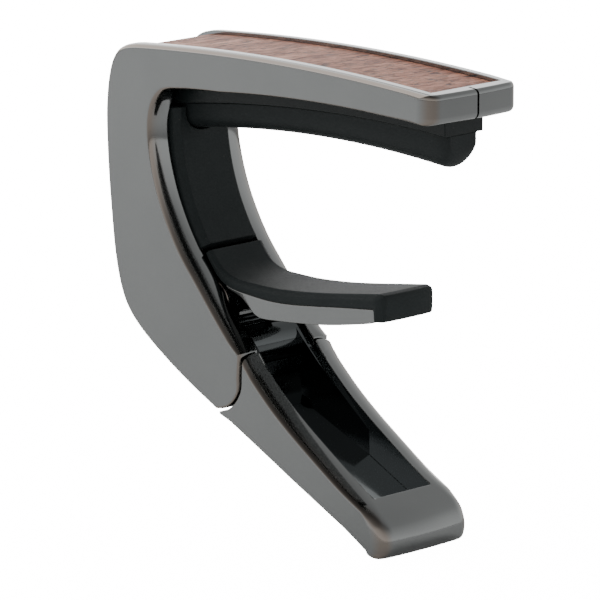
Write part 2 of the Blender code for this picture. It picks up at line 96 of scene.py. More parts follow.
LEVER_AXIS = (-14.9, -35.7)  # the lever's hinge, along Y
JAW_AXIS = (-22.0, -29.5)  # the jaw's hinge, along Y
HUB_HALF = 6.2  # half of the length of the lever's hub
HUB = 3.5  # radius of the lever's hub
JAW_HUB = 3.9  # radius of the jaw's hub
SHAFT = 1.5  # radius of the shafts
BUSH = 2.4  # radius of the bushes and of the plugs over the shafts
FINGER = 4.19  # from the lever's axis to the finger's knob
KNOB = 1.1  # radius of the knob

# Lines of the side view, as (x, z).
BACK = [(-33.0, 12.55), (-35.3, 12.15), (-37.2, 11.2), (-38.5, 9.5), (-39.3, 7.2), (-39.85, 4.0),
        (-40.1, -0.5), (-39.8, -8.0), (-39.2, -15.0), (-38.3, -22.5), (-36.9, -28.2), (-34.9, -31.9),
        (-31.5, -35.2), (-26.3, -38.9), (-21.2, -42.0), (-15.2, -45.15)]
RIM = [(-9.35, -35.2), (-11.2, -33.4), (-14.5, -29.7), (-18.9, -24.4), (-22.2, -20.4), (-24.8, -16.3),
       (-26.9, -11.9), (-28.4, -7.2), (-29.2, -2.8), (-29.2, 0.6), (-28.4, 3.2), (-26.6, 5.0), (-24.0, 5.8)]
SPINE_FACE = [(-27.7, 2.1), (-27.6, -1.5), (-27.2, -5.0), (-26.2, -9.3), (-24.6, -13.6), (-22.6, -17.4),
              (-21.2, -19.5)]
JAW_FACE = [(-20.5, -20.3), (-19.2, -22.0), (-17.4, -23.5), (-14.6, -24.4), (-11.0, -24.65), (-7.0, -24.75),
            (-3.0, -24.6), (1.0, -24.3), (6.0, -23.75), (11.0, -23.1), (16.5, -22.4)]
JAW_FACE_TIP = [(17.5, -22.6), (17.9, -23.4), (17.85, -26.3), (17.4, -26.95)]
JAW_UNDER = [(-21.3, -20.95), (-20.2, -22.5), (-18.2, -24.75), (-15.6, -25.95), (-11.4, -26.5),
             (-7.1, -26.82), (-2.9, -26.75), (1.2, -26.4), (6.2, -25.86), (11.2, -25.35), (15.8, -24.93)]
JAW_UNDER_TIP = [(16.3, -25.05), (16.5, -25.5), (16.6, -26.3), (16.8, -26.9)]
RAIL_UNDER = [(16.15, -26.2), (15.5, -27.15), (10.9, -28.1), (5.3, -29.0), (0.6, -29.45), (-6.1, -29.93),
              (-8.3, -30.05), (-9.6, -29.95), (-10.9, -29.35), (-12.1, -28.25), (-13.8, -27.05),
              (-16.6, -26.15)]
LEVER_RIM = [(-9.0, -35.45), (-7.4, -37.5), (-4.6, -40.3), (-1.6, -43.0), (2.0, -45.8), (6.4, -48.9),
             (12.6, -53.1), (17.4, -56.0)]
LEVER_SKIN = [(-14.1, -45.78), (-9.6, -48.2), (1.5, -54.2), (12.9, -60.2)]
NOSE = [(19.0, -63.4), (20.3, -64.1), (21.5, -63.7), (22.15, -62.4), (22.15, -60.8), (21.3, -59.0),
        (19.7, -57.5)]
JOINT_CENTRE = (-15.2, -39.6)  # centre of the round corner of the frame's cheeks
JOINT_RADIUS = 5.5

FLOOR_Z = -64.5  # just below the lever's nose

# The stage's places and sizes are in metres.
CAMERA_PLACE = (0.58353, -0.62142, 0.15307)
CAMERA_AIM = (-0.00618, 0.0, -0.02746)
LENS = 326.4
SENSOR = 36.0
LIGHT_AIM = (0, 0, -0.025)
FLOOR_REACH = 6.0


# ---------------------------------------------------------------- lines

def smooth_curve(points, steps=6):
    """Points along a Catmull-Rom curve through the given ones."""
    ends = [points[0], *points, points[-1]]
    out = []
    for i in range(1, len(ends) - 2):
        a, b, c, d = (Vector(p) for p in ends[i - 1:i + 3])
        for k in range(steps):
            t = k / steps
            out.append(tuple(0.5 * (2 * b + (c - a) * t + (2 * a - 5 * b + 4 * c - d) * t * t
                                    + (3 * b - a - 3 * c + d) * t ** 3)))
    return [*out, tuple(points[-1])]


def arc(centre, radius, start, end, steps):
    """Points of an arc, with angles in degrees from +X towards +Z."""
    angles = [radians(start + (end - start) * k / steps) for k in range(steps + 1)]
    return [(centre[0] + radius * cos(a), centre[1] + radius * sin(a)) for a in angles]


def normals(line, closed=False):
    """The unit normal to the left of the line at each of its points, and how much a corner stretches it."""
    out = []
    last = len(line) - 1
    least = 1e-6
    sharpest = 0.6
    for i, p in enumerate(line):
        before = line[i - 1] if closed or i else p
        after = line[(i + 1) % len(line)] if closed or i < last else p
        into = Vector(p) - Vector(before)
        away = Vector(after) - Vector(p)
        into = away if into.length < least else into
        away = into if away.length < least else away
        n = (into.normalized() + away.normalized()).normalized()
        stretch = 1 / max(sharpest, n.dot(away.normalized()))
        out.append((Vector((-n.y, n.x)), stretch))
    return out


def offset(line, distance, closed=False):
    """The line moved to its left by a distance, or by a distance for each point."""
    far = distance if isinstance(distance, list) else [distance] * len(line)
    return [(p[0] + n.x * s * d, p[1] + n.y * s * d)
            for p, (n, s), d in zip(line, normals(line, closed), far)]


def wound(outline):
    """The outline run counter-clockwise, so that its left is its inside."""
    area = sum(a[0] * b[1] - b[0] * a[1] for a, b in zip(outline, outline[1:] + outline[:1]))
    return outline if area > 0 else outline[::-1]


def strip(line, near, far):
    """The closed outline between two offsets of a line."""
    return offset(line, near) + offset(line, far)[::-1]


def arm_top(x):
    """Height of the arm's arched top."""
    return ARM_PEAK[1] - (x - ARM_PEAK[0]) ** 2 / (2 * ARM_TOP_RADIUS)


def arm_under(x):
    """Height of the arm's arched underside."""
    return UNDER_PEAK[1] - (x - UNDER_PEAK[0]) ** 2 / (2 * UNDER_RADIUS)


def fret_face(x):
    """Height of the fret pad's working face."""
    return -x * x / (2 * FRET_RADIUS)


def spread(start, end, steps):
    """Evenly spaced values from start to end."""
    return [start + (end - start) * k / steps for k in range(steps + 1)]


def turn_about(point, centre, angle):
    """A point of the side view turned counter-clockwise about a centre, in degrees."""
    x, z = point[0] - centre[0], point[1] - centre[1]
    c, s = cos(radians(angle)), sin(radians(angle))
    return (centre[0] + x * c - z * s, centre[1] + x * s + z * c)


# ---------------------------------------------------------------- solids

def link(name, bm):
    """Closes a bmesh, worked in millimetres, into a named object."""
    bmesh.ops.recalc_face_normals(bm, faces=bm.faces)
    bmesh.ops.scale(bm, vec=(MM, MM, MM), verts=bm.verts)
    mesh = bpy.data.meshes.new(name)
    bm.to_mesh(mesh)
    bm.free()
    obj = bpy.data.objects.new(name, mesh)
    bpy.context.scene.collection.objects.link(obj)
    return obj


def loft(name, rings):
    """Faces between rings of equal length, with flat caps on the first and last."""
    bm = bmesh.new()
    made = [[bm.verts.new(p) for p in ring] for ring in rings]
    count = len(made[0])
    for low, high in zip(made, made[1:]):
        for i in range(count):
            j = (i + 1) % count
            bm.faces.new((low[i], low[j], high[j], high[i]))
    bm.faces.new(made[0][::-1])
    bm.faces.new(made[-1])
    return link(name, bm)


def end_of(half, tip, corner, bow, y):
    """How far an end with rounded plan corners and a slight bow reaches in X at a given Y."""
    flat = half - corner
    beyond = min(corner, max(0.0, abs(y) - flat))
    drop = corner - sqrt(max(0.0, corner * corner - beyond * beyond))
    return tip - drop - bow * (min(abs(y), flat) / flat) ** 2


def slab(name, outline, edges, tip, corner, blend=6.0):
    """A casting's side outline carried across its width, with rounded long edges and a tip rounded in plan.

    edges holds the reach and the depth of the long edge's rounding at each point of the outline. The tip's
    rounding draws on the last stretch before it, which is blend long.
    """
    turns = [radians(a) for a in spread(0, 90, 10)]
    flat_shares = (0.97, 0.94, 0.91, 0.88, 0.83, 0.55, 0.28, 0.0)
    bow = 0.35
    rings = []
    start = tip - blend
    for sign in (-1, 1):
        side = []
        for a in turns:
            moved = offset(outline, [deep * (1 - sin(a)) for _, deep in edges], closed=True)
            side.append([(x, sign * (HALF_WIDTH - reach * (1 - cos(a))), z)
                         for (x, z), (reach, _) in zip(moved, edges)])
        for share in flat_shares:
            side.append([(x, sign * share * (HALF_WIDTH - reach), z)
                         for (x, z), (reach, _) in zip(outline, edges)])
        rings += side if sign < 0 else side[-2::-1]
    for ring in rings:
        for i, (x, y, z) in enumerate(ring):
            if x > start:
                reach = end_of(HALF_WIDTH, tip, corner, bow, y)
                ring[i] = (start + (x - start) * (reach - start) / (tip - start), y, z)
    return loft(name, rings)


def prism(name, outline, low, high, edge=0.0, steps=4):
    """An outline in XZ carried from one Y to another, with its long edges rounded by edge."""
    outline = wound(outline)
    stations = [(low, 0.0), (high, 0.0)]
    if edge:
        turns = [radians(a) for a in spread(0, 90, steps)]
        near = [(edge * (1 - cos(a)), edge * (1 - sin(a))) for a in turns]
        stations = [(low + y, inset) for y, inset in near] + [(high - y, inset) for y, inset in near[::-1]]
    rings = [[(x, y, z) for x, z in offset(outline, inset, closed=True)] for y, inset in stations]
    return loft(name, rings)


def turned(name, profile, axis, sides=64):
    """A profile of (radius, Y) points turned about a hinge axis; it is closed, or ends on the axis."""
    centre = Vector((axis[0], 0, axis[1]))
    up = Vector((0, 1, 0))
    side = up.orthogonal().normalized()
    other = up.cross(side)
    bm = bmesh.new()
    columns = []
    poles = {}
    for k in range(sides):
        spoke = side * cos(2 * pi * k / sides) + other * sin(2 * pi * k / sides)
        column = []
        for i, (radius, height) in enumerate(profile):
            place = centre + up * height
            if radius == 0:
                if i not in poles:
                    poles[i] = bm.verts.new(place)
                column.append(poles[i])
            else:
                column.append(bm.verts.new(place + spoke * radius))
        columns.append(column)
    for k in range(sides):
        here, there = columns[k], columns[(k + 1) % sides]
        for i in range(len(profile)):
            j = (i + 1) % len(profile)
            corners = list(dict.fromkeys((here[i], there[i], there[j], here[j])))
            if len(corners) > 2:
                bm.faces.new(corners)
    return link(name, bm)


def on_axis(name, axis, inner, outer, low, high, chamfer=0.15, sides=64):
    """A sleeve or rod about a hinge axis, from one Y to another."""
    c = chamfer
    profile = [(outer - c, low), (outer, low + c), (outer, high - c), (outer - c, high)]
    profile += [(inner, high), (inner, low)] if inner else [(0, high), (0, low)]
    return turned(name, profile, axis, sides)


def apply_boolean(obj, other, operation, finish):
    """Joins or cuts for good, and drops the tool. The faces that the tool makes take the given finish."""
    change = obj.modifiers.new(operation.lower(), "BOOLEAN")
    change.operation = operation
    if finish:
        other.data.materials.append(finish)
        change.material_mode = "TRANSFER"
    change.object = other
    bpy.context.view_layer.update()
    graph = bpy.context.evaluated_depsgraph_get()
    mesh = bpy.data.meshes.new_from_object(obj.evaluated_get(graph))
    obj.modifiers.remove(change)
    old = obj.data
    obj.data = mesh
    bpy.data.meshes.remove(old)
    bpy.data.objects.remove(other)
    return obj


def cut(obj, tool, finish=None):
    """Takes the tool's shape out of the piece."""
    apply_boolean(obj, tool, "DIFFERENCE", finish)


def join(obj, other, finish=None):
    """Makes the other shape a part of the piece."""
    apply_boolean(obj, other, "UNION", finish)


def settle(obj):
    """Turns the object's modifiers into its mesh."""
    bpy.context.view_layer.update()
    mesh = bpy.data.meshes.new_from_object(obj.evaluated_get(bpy.context.evaluated_depsgraph_get()))
    obj.modifiers.clear()
    old = obj.data
    obj.data = mesh
    bpy.data.meshes.remove(old)


def ease(obj, width, segments=2, angle=38.0, inside=HALF_WIDTH):
    """Rounds the corners left sharp that lie within a distance of the middle."""
    bm = bmesh.new()
    bm.from_mesh(obj.data)
    weight = bm.edges.layers.float.new("bevel_weight_edge")
    for edge in bm.edges:
        near = all(abs(v.co.y) < inside * MM for v in edge.verts)
        if near and len(edge.link_faces) == 2 and edge.calc_face_angle(0.0) > radians(angle):
            edge[weight] = 1.0
    bm.to_mesh(obj.data)
    bm.free()
    bevel = obj.modifiers.new("soft edges", "BEVEL")
    bevel.width = width * MM
    bevel.segments = segments
    bevel.limit_method = "WEIGHT"
    bevel.use_clamp_overlap = False
    bevel.miter_outer = "MITER_ARC"
    settle(obj)
    return obj


def filled(obj):
    """The piece with most of the pinholes filled that are left where several eased edges meet."""
    tiny = 0.01 * MM
    bm = bmesh.new()
    bm.from_mesh(obj.data)
    bmesh.ops.remove_doubles(bm, verts=bm.verts, dist=tiny)
    bmesh.ops.dissolve_degenerate(bm, edges=bm.edges, dist=tiny)
    bmesh.ops.holes_fill(bm, edges=[edge for edge in bm.edges if edge.is_boundary], sides=12)
    bm.to_mesh(obj.data)
    bm.free()
    return obj


def shaded(obj, sharp=32.0):
    """Shades all but the sharp edges smooth, with the large faces kept flat."""
    obj.data.shade_smooth()
    obj.data.set_sharp_from_angle(angle=radians(sharp))
    weighted = obj.modifiers.new("even shading", "WEIGHTED_NORMAL")
    weighted.keep_sharp = True
    weighted.weight = 80
    return obj


# ---------------------------------------------------------------- materials

class Nodes:
    """A material's node tree, with one short call for each step."""

    def __init__(self, name):
        self.material = bpy.data.materials.new(name)
        self.material.use_nodes = True
        self.tree = self.material.node_tree
        self.shader = self.tree.nodes["Principled BSDF"]

    def add(self, kind, **settings):
        """A new node of a kind, with its settings."""
        node = self.tree.nodes.new("ShaderNode" + kind)
        for key, value in settings.items():
            setattr(node, key, value)
        return node

    def wire(self, source, target):
        """Joins two sockets."""
        self.tree.links.new(source, target)

    def place(self, scale=(1, 1, 1), turn=(0, 0, 0)):
        """The piece's own coordinates in millimetres, turned and scaled."""
        mapping = self.add("Mapping")
        mapping.inputs["Scale"].default_value = [s / MM for s in scale]
        turned_by = self.add("Mapping")
        turned_by.inputs["Rotation"].default_value = [radians(a) for a in turn]
        self.wire(self.add("TexCoord").outputs["Object"], turned_by.inputs["Vector"])
        self.wire(turned_by.outputs["Vector"], mapping.inputs["Vector"])
        return mapping.outputs["Vector"]

    def noise(self, place, scale, detail=4.0, rough=0.55, distort=0.0):
        """Noise at a place, with scale as its number of features per millimetre."""
        node = self.add("TexNoise")
        node.inputs["Scale"].default_value = scale
        node.inputs["Detail"].default_value = detail
        node.inputs["Roughness"].default_value = rough
        node.inputs["Distortion"].default_value = distort
        self.wire(place, node.inputs["Vector"])
        return node.outputs["Fac"]

    def ramp(self, value, stops):
        """A colour ramp; stops are (place, colour) or (place, grey)."""
        node = self.add("ValToRGB")
        elements = node.color_ramp.elements
        for i, (where, colour) in enumerate(stops):
            made = elements[i] if i < 2 else elements.new(where)
            made.position = where
            made.color = (*colour, 1) if isinstance(colour, tuple) else (colour, colour, colour, 1)
        self.wire(value, node.inputs["Fac"])
        return node.outputs["Color"]

    def mix(self, share, first, second, blend="MIX"):
        """Two colours mixed by a share, each a socket or a constant."""
        node = self.add("Mix", data_type="RGBA", blend_type=blend)
        for socket, value in ((node.inputs[0], share), (node.inputs[6], first), (node.inputs[7], second)):
            if isinstance(value, bpy.types.NodeSocket):
                self.wire(value, socket)
            else:
                socket.default_value = (*value, 1) if isinstance(value, tuple) else value
        return node.outputs[2]

    def math(self, operation, *values):
        """The result of an operation on sockets or constants."""
        node = self.add("Math", operation=operation)
        for socket, value in zip(node.inputs, values):
            if isinstance(value, bpy.types.NodeSocket):
                self.wire(value, socket)
            else:
                socket.default_value = value
        return node.outputs[0]

    def bump(self, height, strength, distance):
        """Raises the surface by a height, with the distance in millimetres."""
        node = self.add("Bump")
        node.inputs["Strength"].default_value = strength
        node.inputs["Distance"].default_value = distance * MM
        self.wire(height, node.inputs["Height"])
        self.wire(node.outputs["Normal"], self.shader.inputs["Normal"])

    def set(self, **values):
        """Sets or wires the shader's sockets."""
        for key, value in values.items():
            socket = self.shader.inputs[key.replace("_", " ")]
            if isinstance(value, bpy.types.NodeSocket):
                self.wire(value, socket)
            else:
                socket.default_value = (*value, 1) if isinstance(value, tuple) else value


def black_chrome(name, dark, light):
    """Dark polished plating, browner where it thins over the rounded edges, with faint haze and pin marks."""
    n = Nodes(name)
    geometry = n.add("NewGeometry")
    apart = n.add("SeparateXYZ")
    n.wire(geometry.outputs["Normal"], apart.inputs["Vector"])
    side = n.math("MULTIPLY", apart.outputs["Y"], apart.outputs["Y"])
    slope = n.math("MULTIPLY", side, n.math("SUBTRACT", 1.0, side))
    edge = n.ramp(slope, [(0.02, 0.0), (0.2, 1.0)])
    place = n.place()
    haze = n.noise(place, 0.12, detail=3.0)
    body = n.mix(haze, dark, light)
    tint = (0.97, 0.79, 0.68)
    brown = tuple(level * share for level, share in zip(light, tint))
    edged = n.mix(n.math("MULTIPLY", edge, 0.8), body, brown)
    pins = n.ramp(n.noise(place, 1.7, detail=2.0, rough=0.5), [(0.17, 1.0), (0.2, 0.0)])
    n.set(Base_Color=n.mix(n.math("MULTIPLY", pins, 0.25), edged, (0.1, 0.085, 0.075)), Metallic=1.0)
    n.set(Roughness=n.ramp(n.noise(place, 0.35, detail=5.0, rough=0.6), [(0.35, 0.085), (0.75, 0.14)]))
    n.bump(n.noise(place, 0.25, detail=2.0), strength=0.12, distance=0.03)
    return n.material


def walnut():
    """Open-pored walnut, its grain across the arm and a little off square."""
    n = Nodes("walnut")
    askew = (0, 0, 9)
    along = n.place((1.0, 0.16, 1.0), askew)
    broad = n.noise(along, 0.32, detail=5.0, rough=0.6, distort=0.6)
    fine = n.noise(along, 2.3, detail=6.0, rough=0.7, distort=0.3)
    tone = n.ramp(broad, [(0.3, (0.25, 0.085, 0.055)), (0.5, (0.54, 0.225, 0.14)), (0.7, (0.76, 0.38, 0.26))])
    streak = n.ramp(fine, [(0.38, (0.40, 0.34, 0.35)), (0.56, (1.05, 1.0, 0.97))])
    wood = n.mix(0.85, tone, streak, "MULTIPLY")
    pores = n.noise(n.place((1.0, 0.2, 1.0), askew), 1.7, detail=2.5, rough=0.6)
    pore = n.ramp(pores, [(0.37, 1.0), (0.45, 0.0)])
    flecks = n.ramp(n.noise(n.place(), 5.5, detail=1.0), [(0.68, 0.0), (0.74, 1.0)])
    wood = n.mix(n.math("MULTIPLY", flecks, 0.5), wood, (0.62, 0.33, 0.17))
    wood = n.mix(n.math("MULTIPLY", pore, 0.85), wood, (0.055, 0.03, 0.026))
    n.set(Base_Color=wood, Roughness=n.ramp(fine, [(0.3, 0.62), (0.7, 0.42)]))
    n.set(Specular_IOR_Level=0.2)
    n.bump(n.math("SUBTRACT", fine, pore), strength=0.5, distance=0.08)
    return n.material


def moulded(name, dark, light, rough, grain, depth):
    """A black moulded surface: fine grain, soft variation and a little dust."""
    vary = 0.07
    n = Nodes(name)
    place = n.place()
    patches = n.noise(place, 0.22, detail=4.0)
    grains = n.noise(place, grain, detail=3.0, rough=0.65)
    colour = n.mix(patches, dark, light)
    dust = n.ramp(n.noise(place, 2.6, detail=1.0), [(0.77, 0.0), (0.8, 1.0)])
    n.set(Base_Color=n.mix(n.math("MULTIPLY", dust, 0.25), colour, (0.16, 0.16, 0.15)))
    n.set(Roughness=n.ramp(grains, [(0.3, rough - vary), (0.7, rough + vary)]), Specular_IOR_Level=0.25)
    n.bump(grains, strength=0.35, distance=depth)
    return n.material


def bright_steel(name, tone, rough):
    """Machined steel with fine turning marks."""
    n = Nodes(name)
    marks = n.noise(n.place((1, 6, 1)), 1.4, detail=4.0)
    light = (tone, tone, tone * 1.02)
    dark = (tone * 0.8, tone * 0.8, tone * 0.8)
    n.set(Base_Color=n.mix(marks, light, dark), Metallic=1.0)
    n.set(Roughness=n.ramp(marks, [(0.3, rough), (0.8, rough + 0.12)]))
    n.bump(marks, strength=0.2, distance=0.02)
    return n.material


# ---------------------------------------------------------------- the object's pieces

def eased(edges, reach=7):
    """Edge sizes averaged with their neighbours round the outline, so that one runs into the next."""
    count = len(edges)
    span = range(-reach, reach + 1)
    return [tuple(sum(edges[(i + k) % count][part] for k in span) / len(span) for part in (0, 1))
            for i in range(count)]


def tamed(outline, edges, slopes, corners):
    """Edge sizes cut down near the outline's sharp corners, where a wide rounding would fold over itself."""
    least_reach, least_deep, widening = 0.5, 0.04, 2.0
    out = []
    for place, (reach, deep), slope in zip(outline, edges, slopes):
        near = min((Vector(place) - Vector(corner)).length for corner in corners)
        out.append((min(reach, least_reach + widening * near), min(deep, least_deep + slope * near)))
    return out


def frame_outline():
    """The C-shaped casting from the side, and the size of its long edge's rounding at each point."""
    under_r, top_r = 1.2, 0.9
    low_x = ARM_TIP_X - under_r
    low = arc((low_x, arm_under(low_x) + under_r), under_r, -90, 0, 12)
    high_x = ARM_TIP_X - top_r
    high = arc((high_x, arm_top(high_x) - top_r), top_r, 0, 90, 8)
    top = [(x, arm_top(x)) for x in spread(29.5, -31.0, 60)]
    corner = arc(JOINT_CENTRE, JOINT_RADIUS, -80, 0, 24)
    under = [(x, arm_under(x)) for x in spread(-21.5, 29.3, 48)]
    parts = [(low, EDGE), (high, EDGE), (top, EDGE), (smooth_curve(BACK), EDGE), (corner, JOINT_EDGE),
             (smooth_curve(RIM), RIM_EDGE), (under, UNDER_EDGE)]
    outline = [point for line, _ in parts for point in line]
    return outline, eased([size for line, size in parts for _ in line])


def channel_outline():
    """The hollow of the spine and lobe, from under the arm down to the lever, open on the rim's side."""
    ceiling, mouth_x, corner = 6.1, -21.0, 0.8
    wall, thinned, thin_from, thin_over = 3.9, 2.1, 22.0, 12.0
    highest = 5.0
    back = [p for p in smooth_curve(BACK) if p[1] < highest]
    walls = [wall - thinned * min(1.0, max(0.0, (-z - thin_from) / thin_over)) for _, z in back]
    inner = [p for p in offset(back, walls) if p[1] < ceiling - 1.5]
    rear_x = inner[0][0]
    return [(mouth_x, ceiling), (rear_x + corner, ceiling), (rear_x, ceiling - corner), *inner,
            (-8.0, -46.2), (-3.0, -40.0), (-3.0, 0.0), (mouth_x, 0.0)]


def inlay_line():
    """The outside line that the inlay follows, from near the tip over the corner and down the back."""
    top = [(x, arm_top(x)) for x in spread(29.3, -31.0, 60)]
    return top + [p for p in smooth_curve(BACK) if p[1] > INLAY_LOWEST]


def frame_casting():
    """The frame: hollow spine and cheeks, the wood's recess, the slot in its tip and the far shaft seats."""
    outline, edges = frame_outline()
    body = slab("frame_casting", outline, edges, ARM_TIP_X, TIP_CORNER)
    body.data.materials.append(CHROME)
    # The faces of the channel and the wood's recess take a lighter copy of the plating: painted light in the
    # hollows.
    cut(body, prism("cut_channel", channel_outline(), -CHANNEL, CHANNEL), PAINTED_LIGHT_INNER)
    above = -2.0
    recess = strip(inlay_line(), above, INLAY_DEEP)
    cut(body, prism("cut_inlay", recess, -INLAY_HALF, INLAY_HALF), PAINTED_LIGHT_INNER)
    filled(ease(body, SOFT_EDGE, inside=INLAY_HALF + 0.2))
    tip_slot = [(29.9, 4.0), (33.0, 4.0), (33.0, 14.0), (29.9, 14.0)]
    half_slot = 0.22
    cut(body, prism("cut_tip_slot", tip_slot, -half_slot, half_slot))
    start, outside = 6.0, 12.0
    seat = [(0, start), (BUSH + GAP, start), (BUSH + GAP, outside), (0, outside)]
    for axis in (JAW_AXIS, LEVER_AXIS):
        cut(body, turned("cut_shaft_seat", seat, axis))
    return shaded(body)


def wood_inlay():
    """The wood in its recess, a little narrower than it, with eased edges."""
    line = inlay_line()
    line[0] = (line[0][0] - GAP, line[0][1])
    apart = 0.12
    half = INLAY_HALF - apart
    wood = prism("wood_inlay", strip(line, INLAY_SUNK, INLAY_DEEP - GAP), -half, half, edge=0.12, steps=2)
    return shaded(wood)


def carrier_rail():
    """The moulded rail under the arm, which holds the fret pad."""
    half = 4.5
    across = spread(-30.0, 29.0, 59)
    upper = [(x, arm_under(x) - CONTACT) for x in across]
    lower = [(x, arm_under(x) - CARRIER_DEEP) for x in across[::-1]]
    rail = prism("carrier_rail", upper + lower, -half, half, edge=0.25)
    return shaded(rail)


def fret_rings(xs, spare=0.0):
    """Sections of the fret pad, flat on top and round below, with room to spare all round if asked."""
    half, side, squareness, steps = 3.7, 1.6, 0.8, 24
    rings = []
    for x in xs:
        top = arm_under(x) - CARRIER_DEEP - CONTACT + spare
        into = max(0.0, (x - FRET_FRONT + FRET_NOSE) / FRET_NOSE)
        left = sqrt(max(0.0, 1 - into * into))
        middle = top - side
        low = middle - (middle - fret_face(x) + spare) * (0.12 + 0.88 * left)
        wide = half * (0.8 + 0.2 * left) + spare
        ring = [(x, -wide, top), (x, wide, top)]
        for k in range(steps + 1):
            angle = pi * k / steps
            ring.append((x, wide * cos(angle), middle - (middle - low) * sin(angle) ** squareness))
        rings.append(ring)
    return rings


def fret_rubber():
    """The rubber that presses on the strings: flat on the carrier, round below, with a rounded front."""
    start = FRET_FRONT - FRET_NOSE
    xs = spread(-29.4, start, 60) + [start + FRET_NOSE * sin(radians(a)) for a in spread(6, 90, 14)]
    return shaded(ease(loft("fret_rubber", fret_rings(xs)), 0.2, segments=3))


def pad_rings(face, back, half, bevel, share, tip=None, corner=0.0):
    """Rings of a pad along its face line: square at the back, bevelled along each side of its face.

    A ring's points are (Y, share of the way from the face to the back). With a tip, the pad's end is rounded
    in plan over its last stretch.
    """
    one_side = [(half, 1.0), (half, 0.75), (half, share), (half - bevel * 0.5, share * 0.46),
                (half - bevel, 0.0), (half * 0.5, 0.0)]
    section = [(-y, t) for y, t in one_side] + [(0.0, 0.0)] + one_side[::-1]
    stretch, bow = 3.0, 0.15
    rings = []
    for front, rear in zip(face, back):
        ring = []
        for y, t in section:
            x = front[0] + (rear[0] - front[0]) * t
            z = front[1] + (rear[1] - front[1]) * t
            if tip and x > tip - stretch:
                reach = end_of(half, tip, corner, bow, y)
                x = tip - stretch + (x - tip + stretch) * (reach - tip + stretch) / stretch
            ring.append((x, y, z))
        rings.append(ring)
    return rings


def soft_pad(pad):
    """A pad with its bevels' edges softened."""
    return shaded(ease(pad, 0.16, segments=3, angle=16.0), sharp=14.0)


def spine_rubber():
    """The rubber on the spine, notched at its top for the end of the fret pad."""
    thick = 2.3
    face = smooth_curve(SPINE_FACE, 8)
    pad = loft("spine_rubber", pad_rings(face, offset(face, -thick), PAD_HALF, bevel=1.0, share=0.4))
    cut(pad, loft("cut_notch", fret_rings(spread(-31.5, -24.0, 10), GAP)))
    return soft_pad(pad)


def jaw_rubber():
    """The rubber on the jaw, wrapped over its tip."""
    face = smooth_curve(JAW_FACE, 6) + smooth_curve(JAW_FACE_TIP, 4)
    back = smooth_curve(JAW_UNDER, 6) + smooth_curve(JAW_UNDER_TIP, 4)
    rings = pad_rings(face, back, PAD_HALF, 0.8, 0.35, JAW_TIP_X, JAW_TIP_CORNER)
    return soft_pad(loft("jaw_rubber", rings))


def from_axis(axis, towards, spots):
    """Places measured from a hinge axis: along the line towards another, and to the left of that line."""
    line = (Vector(towards) - Vector(axis)).normalized()
    side = Vector((-line.y, line.x))
    places = [Vector(axis) + line * along + side * across for along, across in spots]
    return [(p.x, p.y) for p in places]


def bore(axis, half):
    """The hole for a hub's bushes, of a half length that passes the hub."""
    return on_axis("cut_bore", axis, 0, BUSH + GAP, -half, half, chamfer=0.01, sides=60)


def jaw_web():
    """The jaw's middle from the side, from under the pad back to its hinge."""
    front, below = 2.0, GAP + 0.12
    top = [p for p in offset(smooth_curve(JAW_UNDER), -below)[4:] if p[0] < front]
    return top + [(front, -28.9), (-8.0, -29.5), (-12.5, -29.3), (-18.0, -31.0), (-22.0, -31.0),
                  (-25.4, -28.4), (-24.4, -24.4)]


def finger_slot():
    """The open slot in the jaw that the lever's finger works in, from the side."""
    mouth, flare = 9.0, 0.4
    half = KNOB + GAP + 0.05
    bottom = (Vector(LEVER_AXIS) - Vector(JAW_AXIS)).length - FINGER - KNOB - 0.35
    spots = [(bottom, -half), (mouth, -half - flare), (mouth, half + flare), (bottom, half)]
    return from_axis(JAW_AXIS, LEVER_AXIS, spots)


def hub_way():
    """The room that the lever's hub needs in the jaw as the jaw opens, from the side."""
    clear, furthest = HUB + 0.4, 17
    opened = turn_about(LEVER_AXIS, JAW_AXIS, furthest)
    return arc(LEVER_AXIS, clear, 150, 310, 24) + arc(opened, clear, -50, 150, 30)


def jaw_casting():
    """The moving jaw: side rails under its pad, a web back to its hinge, and a slot for the finger."""
    hub_half, horn_half, rail_start = WEB_HALF + 0.1, 3.4, -17.4
    rail_top = [p for p in offset(smooth_curve(JAW_UNDER), -CONTACT) if p[0] > rail_start]
    body = prism("jaw_casting", rail_top + smooth_curve(RAIL_UNDER, 4), -JAW_HALF, JAW_HALF)
    body.data.materials.append(CHROME)
    ease(body, 0.15)
    # The web takes the lighter copy of the plating: painted light under the jaw.
    join(body, prism("web", jaw_web(), -WEB_HALF, WEB_HALF), PAINTED_LIGHT_INNER)
    join(body, on_axis("hub", JAW_AXIS, 0, JAW_HUB, -hub_half, hub_half))
    horn = [(1.0, -3.1), (4.6, -3.1), (5.6, -2.2), (5.6, 2.2), (4.6, 3.1), (1.0, 3.1)]
    join(body, prism("horns", from_axis(JAW_AXIS, LEVER_AXIS, horn), -horn_half, horn_half))
    cut(body, prism("cut_slot", finger_slot(), -5, 5))
    cut(body, prism("cut_hub_way", hub_way(), -7, 7))
    cut(body, bore(JAW_AXIS, 7))
    return shaded(body)


def rim_end(sign):
    """What is cut off the lever's sharp upper corner on one side, so that the rim slopes on to the joint."""
    corner, second = Vector(LEVER_RIM[0]), Vector(LEVER_RIM[1])
    along = (second - corner).normalized()
    inward = Vector((along.y, -along.x))
    reach, deep = RIM_EDGE
    back, ahead, high = 1.2, 2.2, 3.0
    outside, rear_share = 0.4, 0.66
    rings = []
    for a in [0.0] + [radians(a) for a in spread(0, 90, 10)]:
        y = HALF_WIDTH - reach * (1 - cos(a)) + (0.0 if rings else outside)
        low = inward * deep * (1 - sin(a))
        top = corner - inward * high
        ring = [corner + low * rear_share - along * back, corner + low + along * ahead,
                top + along * ahead, top - along * back]
        rings.append([(p.x, sign * y, p.y) for p in ring])
    return loft("cut_rim_end", rings)


